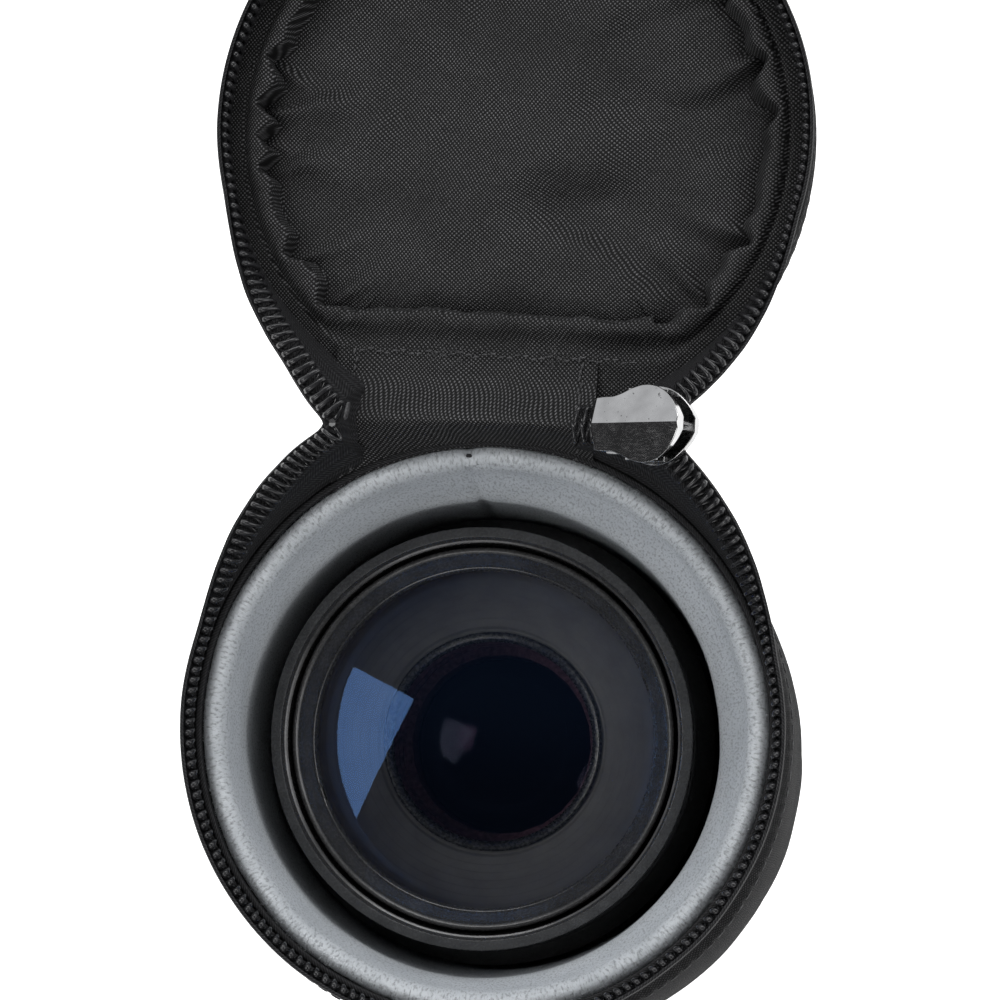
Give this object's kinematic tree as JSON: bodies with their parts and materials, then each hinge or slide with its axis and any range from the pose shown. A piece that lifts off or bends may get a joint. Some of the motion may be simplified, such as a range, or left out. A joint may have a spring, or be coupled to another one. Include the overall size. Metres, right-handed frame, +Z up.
{
  "type": "camera lens in padded zip case",
  "caption": "Round padded nylon zip case lying open, with fleece lining, a hinged quilted lid and a camera lens standing inside.",
  "frame": {"origin": "centre of the case's base, on the surface it stands on", "axes": "+Z up along the case and the lens, +Y from the case towards its hinge and the open lid, +X towards the side where the slider parks"},
  "size_m": [0.0904, 0.1812, 0.14],
  "materials": {
    "nylon": "satin",
    "weave": "satin",
    "fleece": "matte",
    "foam": "matte",
    "board": "matte",
    "coil": "satin",
    "zinc": "satin",
    "black_metal": "satin",
    "black_plastic": "matte",
    "rubber": "matte",
    "steel": "satin",
    "blade_steel": "satin",
    "glass": "gloss"
  },
  "bodies": {
    "case": {"base_panel": "nylon", "base_piping": "nylon", "base_board": "board", "base_foam": "foam", "base_lining": "fleece", "shell_wall": "weave", "wall_foam": "foam", "wall_lining": "fleece", "rim_binding": "nylon", "hinge_tape_body": "nylon", "zip_tape_body": "nylon", "zip_coil_body": "coil"},
    "lid": {"lid_panel": "weave", "lid_piping": "nylon", "lid_wall": "weave", "lid_foam": "foam", "lid_lining": "nylon", "hinge_tape_lid": "nylon", "zip_tape_lid": "nylon", "zip_coil_lid": "coil"},
    "web": {"hinge_web": "nylon", "chain_stub": "coil", "chain_end_left": "coil"},
    "slider": {"slider_body": "zinc"},
    "pull": {"pull_tab": "zinc"},
    "lens": {"bayonet_mount": "steel", "rear_barrel": "black_metal", "main_barrel": "black_metal", "front_barrel": "black_metal", "filter_ring": "black_metal"},
    "cap": {"rear_cap": "black_plastic"},
    "aperture_control": {"aperture_ring": "black_metal"},
    "focus_control": {"focus_ring": "black_metal", "focus_grip": "rubber"},
    "optics": {"focus_tube": "black_metal", "front_trim_ring": "black_metal", "front_retainer": "black_metal", "front_element": "glass", "baffle_cone": "black_metal", "second_element": "glass", "second_cell": "black_metal", "iris_housing": "black_metal", "iris_cover": "black_metal", "rear_cell": "black_metal", "rear_element": "glass"},
    "blade_1": {"iris_blade_1": "blade_steel"},
    "blade_2": {"iris_blade_2": "blade_steel"},
    "blade_3": {"iris_blade_3": "blade_steel"},
    "blade_4": {"iris_blade_4": "blade_steel"},
    "blade_5": {"iris_blade_5": "blade_steel"},
    "blade_6": {"iris_blade_6": "blade_steel"},
    "blade_7": {"iris_blade_7": "blade_steel"}
  },
  "joints": [
    {"name": "lid_hinge", "type": "hinge", "parent": "case", "child": "lid", "pos_m": [0, 0.0454, 0.126], "axis": [-1, 0, 0], "range_deg": [-180, 0]},
    {"name": "web_fold", "type": "hinge", "parent": "case", "child": "web", "pos_m": [0, 0.0454, 0.126], "axis": [-1, 0, 0], "range_deg": [-90, 0]},
    {"name": "slider_travel", "type": "hinge", "parent": "web", "child": "slider", "pos_m": [0, 0.0454, 0.1714], "axis": [0, 1, 0], "range_deg": [-294, 0]},
    {"name": "pull_swing", "type": "hinge", "parent": "slider", "child": "pull", "pos_m": [0.02418, 0.0454, 0.13116], "axis": [0, -1, 0], "range_deg": [-8, 105]},
    {"name": "lens_lift", "type": "slide", "parent": "case", "child": "lens", "axis": [0, 0, 1], "range_m": [0, 0.115]},
    {"name": "cap_twist", "type": "hinge", "parent": "lens", "child": "cap", "pos_m": [-0.002, -0.001, 0.018], "axis": [0, 0, 1], "range_deg": [0, 60]},
    {"name": "aperture_turn", "type": "hinge", "parent": "lens", "child": "aperture_control", "pos_m": [-0.002, -0.001, 0.0345], "axis": [0, 0, 1], "range_deg": [0, 50]},
    {"name": "focus_turn", "type": "hinge", "parent": "lens", "child": "focus_control", "pos_m": [-0.002, -0.001, 0.0585], "axis": [0, 0, 1], "range_deg": [0, 150]},
    {"name": "focus_extend", "type": "slide", "parent": "lens", "child": "optics", "axis": [0, 0, 1], "range_m": [0, 0.006]},
    {"name": "blade_turn_1", "type": "hinge", "parent": "optics", "child": "blade_1", "pos_m": [-0.002, 0.0214, 0.05393], "axis": [0, 0, -1], "range_deg": [0, 31]},
    {"name": "blade_turn_2", "type": "hinge", "parent": "optics", "child": "blade_2", "pos_m": [0.01551, 0.01297, 0.05452], "axis": [0, 0, -1], "range_deg": [0, 31]},
    {"name": "blade_turn_3", "type": "hinge", "parent": "optics", "child": "blade_3", "pos_m": [0.01984, -0.00598, 0.05513], "axis": [0, 0, -1], "range_deg": [0, 31]},
    {"name": "blade_turn_4", "type": "hinge", "parent": "optics", "child": "blade_4", "pos_m": [0.00772, -0.02118, 0.05572], "axis": [0, 0, -1], "range_deg": [0, 31]},
    {"name": "blade_turn_5", "type": "hinge", "parent": "optics", "child": "blade_5", "pos_m": [-0.01172, -0.02118, 0.05633], "axis": [0, 0, -1], "range_deg": [0, 31]},
    {"name": "blade_turn_6", "type": "hinge", "parent": "optics", "child": "blade_6", "pos_m": [-0.02384, -0.00598, 0.05693], "axis": [0, 0, -1], "range_deg": [0, 31]},
    {"name": "blade_turn_7", "type": "hinge", "parent": "optics", "child": "blade_7", "pos_m": [-0.01951, 0.01297, 0.05752], "axis": [0, 0, -1], "range_deg": [0, 31]}
  ],
  "couplings": [
    {"joint": "web_fold", "follows": "lid_hinge", "ratio": 0.5},
    {"joint": "focus_turn", "follows": "focus_extend", "rad_per_m": 436.33},
    {"joint": "blade_turn_1", "follows": "aperture_turn", "ratio": 0.6},
    {"joint": "blade_turn_2", "follows": "aperture_turn", "ratio": 0.6},
    {"joint": "blade_turn_3", "follows": "aperture_turn", "ratio": 0.6},
    {"joint": "blade_turn_4", "follows": "aperture_turn", "ratio": 0.6},
    {"joint": "blade_turn_5", "follows": "aperture_turn", "ratio": 0.6},
    {"joint": "blade_turn_6", "follows": "aperture_turn", "ratio": 0.6},
    {"joint": "blade_turn_7", "follows": "aperture_turn", "ratio": 0.6}
  ]
}
